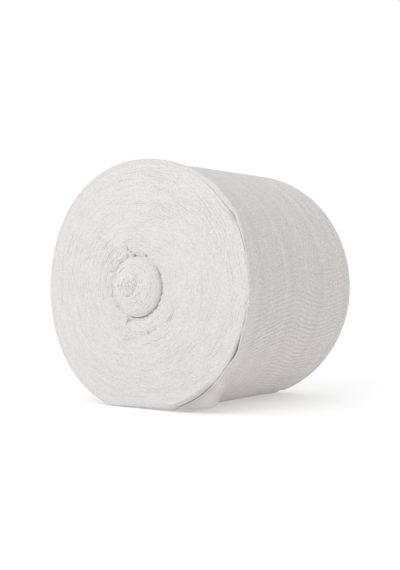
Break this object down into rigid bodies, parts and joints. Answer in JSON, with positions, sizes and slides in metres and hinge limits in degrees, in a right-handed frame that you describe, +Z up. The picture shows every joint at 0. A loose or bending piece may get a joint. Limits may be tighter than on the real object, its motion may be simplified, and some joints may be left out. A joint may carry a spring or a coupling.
{
  "type": "gauze bandage roll",
  "caption": "Wide roll of folded absorbent gauze lying on its side, its middle turns pushed out at one end and its outer end hanging loose.",
  "frame": {"origin": "on the floor under the roll's axis, half way along the cloth's width", "axes": "+Z up, Y along the roll's axis with the end whose middle is pushed out towards -Y, +X towards the side with the loose end"},
  "size_m": [0.2661, 0.2486, 0.2579],
  "materials": {
    "gauze": "matt open-weave cotton, off-white"
  },
  "bodies": {
    "root": {"wound_roll": "gauze", "loose_end": "gauze"}
  },
  "joints": []
}
